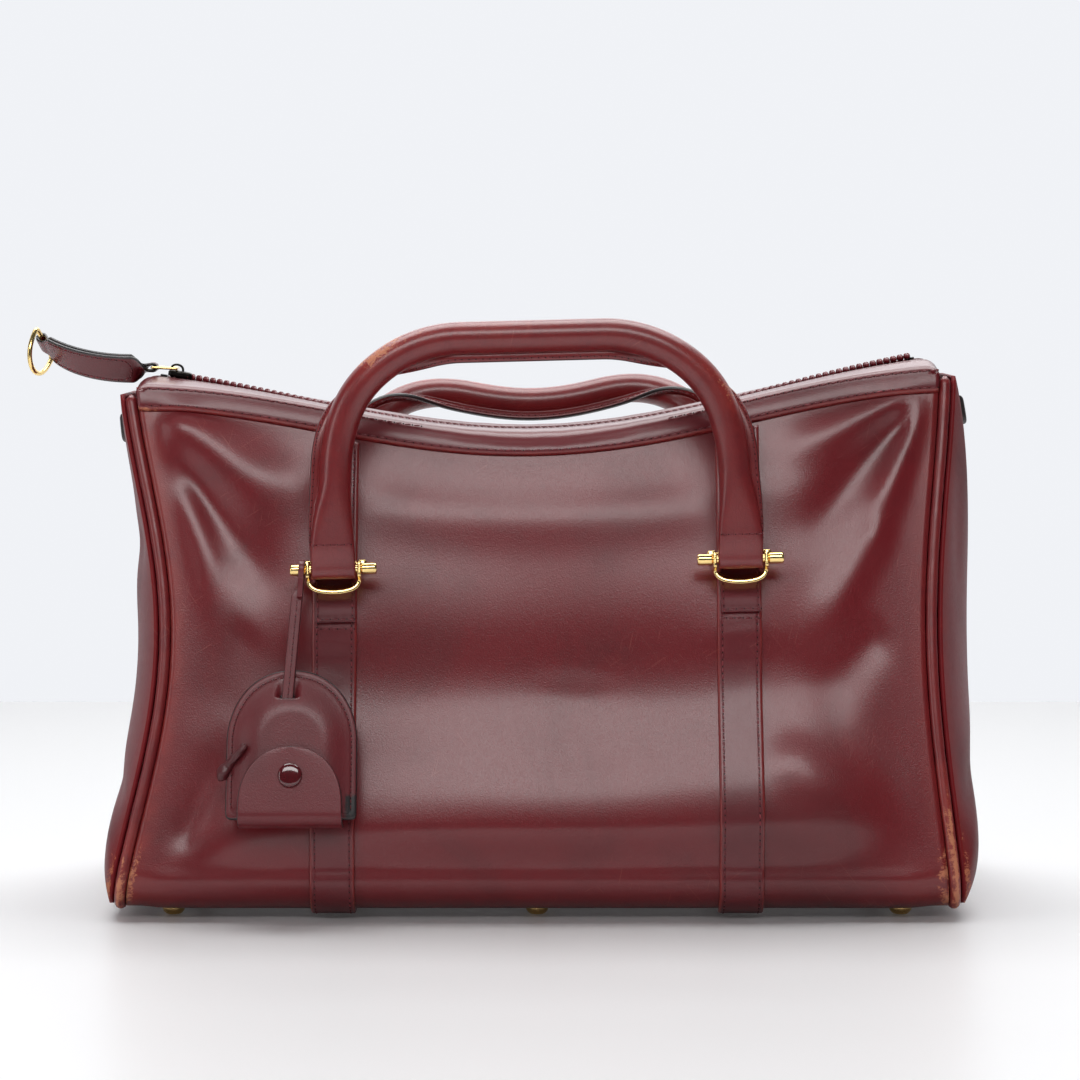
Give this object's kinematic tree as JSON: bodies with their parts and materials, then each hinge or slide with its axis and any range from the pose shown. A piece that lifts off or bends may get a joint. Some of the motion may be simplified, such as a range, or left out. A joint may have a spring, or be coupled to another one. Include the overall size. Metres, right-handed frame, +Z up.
{
  "type": "leather handbag",
  "caption": "Structured travel-style leather handbag with rolled handles on gilt stirrups, a zip top, stitched straps, piped ends and a hanging key holder.",
  "frame": {"origin": "centre of the front middle foot's flat underside", "axes": "+X along the bag towards its right end, +Y towards its back, +Z up"},
  "size_m": [0.3671, 0.2045, 0.2247],
  "materials": {
    "burgundy_leather": "polished box calf, lightly worn",
    "strap_leather": "satin box calf, stitched",
    "black_edge": "black painted edge",
    "gold_plate": "polished gilt plate",
    "foot_brass": "satin",
    "zip_tape": "woven tape",
    "zip_teeth": "moulded teeth",
    "lining_cloth": "matt cloth",
    "base_board": "stiffener board",
    "cap_enamel": "gloss enamel"
  },
  "bodies": {
    "bag": {"body_wrap": "burgundy_leather", "left_end_panel": "burgundy_leather", "right_end_panel": "burgundy_leather", "left_piping": "burgundy_leather", "right_piping": "burgundy_leather", "left_end_tab": "black_edge", "right_end_tab": "black_edge", "left_strap": "strap_leather", "right_strap": "strap_leather", "front_top_band": "strap_leather", "back_top_band": "strap_leather", "front_zip_tape": "zip_tape", "back_zip_tape": "zip_tape", "front_zip_teeth": "zip_teeth", "back_zip_teeth": "zip_teeth", "left_zip_stop": "gold_plate", "right_zip_stop": "gold_plate", "front_left_strap_loop": "strap_leather", "front_right_strap_loop": "strap_leather", "back_left_strap_loop": "strap_leather", "back_right_strap_loop": "strap_leather", "lining": "lining_cloth", "base_board": "base_board", "front_left_foot": "foot_brass", "front_middle_foot": "foot_brass", "front_right_foot": "foot_brass", "back_left_foot": "foot_brass", "back_middle_foot": "foot_brass", "back_right_foot": "foot_brass"},
    "front_fittings": {"front_left_stirrup": "gold_plate", "front_right_stirrup": "gold_plate", "front_left_cross_bar": "gold_plate", "front_right_cross_bar": "gold_plate"},
    "front_grip": {"front_handle": "burgundy_leather"},
    "back_fittings": {"back_left_stirrup": "gold_plate", "back_right_stirrup": "gold_plate", "back_left_cross_bar": "gold_plate", "back_right_cross_bar": "gold_plate"},
    "back_grip": {"back_handle": "burgundy_leather"},
    "slider": {"zip_slider": "gold_plate"},
    "pull_link": {"slider_ring": "gold_plate"},
    "zip_pull": {"zip_strap": "strap_leather"},
    "pull_ring": {"zip_strap_ring": "gold_plate"},
    "lanyard": {"key_lanyard": "strap_leather"},
    "key_holder": {"key_holder_back": "strap_leather", "key_holder_front": "strap_leather", "snap_socket": "gold_plate", "tail_knot": "strap_leather"},
    "key_flap": {"key_holder_flap": "strap_leather", "snap_cap": "cap_enamel"}
  },
  "joints": [
    {"name": "front_stirrup_swing", "type": "hinge", "parent": "bag", "child": "front_fittings", "pos_m": [-0.00009, 0.00889, 0.13367], "axis": [-0.9996, -0.0078, -0.0255], "range_deg": [0, 14]},
    {"name": "front_handle_swing", "type": "hinge", "parent": "front_fittings", "child": "front_grip", "pos_m": [0, 0.00128, 0.13255], "axis": [0.9996, 0.0078, 0.0255], "range_deg": [-14, 122]},
    {"name": "back_stirrup_swing", "type": "hinge", "parent": "bag", "child": "back_fittings", "pos_m": [-0.00009, 0.10811, 0.13367], "axis": [0.9996, -0.0078, 0.0255], "range_deg": [0, 50]},
    {"name": "back_handle_swing", "type": "hinge", "parent": "back_fittings", "child": "back_grip", "pos_m": [0, 0.11572, 0.13255], "axis": [-0.9996, 0.0078, -0.0255], "range_deg": [-55, 80]},
    {"name": "zip_travel", "type": "hinge", "parent": "bag", "child": "slider", "pos_m": [-0.01503, 0.0585, 0.8686], "axis": [0, -1, 0], "range_deg": [0, 23.5]},
    {"name": "link_lift", "type": "hinge", "parent": "slider", "child": "pull_link", "pos_m": [-0.14072, 0.0585, 0.20436], "axis": [0, 1, 0], "range_deg": [0, 192.8]},
    {"name": "zip_pull_swing", "type": "hinge", "parent": "pull_link", "child": "zip_pull", "pos_m": [-0.15031, 0.0585, 0.20486], "axis": [0, -1, 0], "range_deg": [-100, 6]},
    {"name": "pull_ring_swing", "type": "hinge", "parent": "zip_pull", "child": "pull_ring", "pos_m": [-0.19453, 0.07172, 0.21416], "axis": [-0.2574, -0.6706, 0.6958], "range_deg": [-60, 38]},
    {"name": "lanyard_swing", "type": "hinge", "parent": "front_fittings", "child": "lanyard", "pos_m": [-0.0895, 0.00058, 0.13027], "axis": [0.9996, 0.0078, 0.0255], "range_deg": [-80, 0]},
    {"name": "key_holder_slide", "type": "slide", "parent": "lanyard", "child": "key_holder", "axis": [0.0751, 0.3052, 0.9493], "range_m": [0, 0.0215]},
    {"name": "key_flap_fold", "type": "hinge", "parent": "key_holder", "child": "key_flap", "pos_m": [-0.09131, -0.02281, 0.03758], "axis": [1, -0.0004, 0], "range_deg": [0, 150]}
  ],
  "couplings": [
    {"joint": "link_lift", "follows": "zip_travel", "ratio": 8.2}
  ]
}
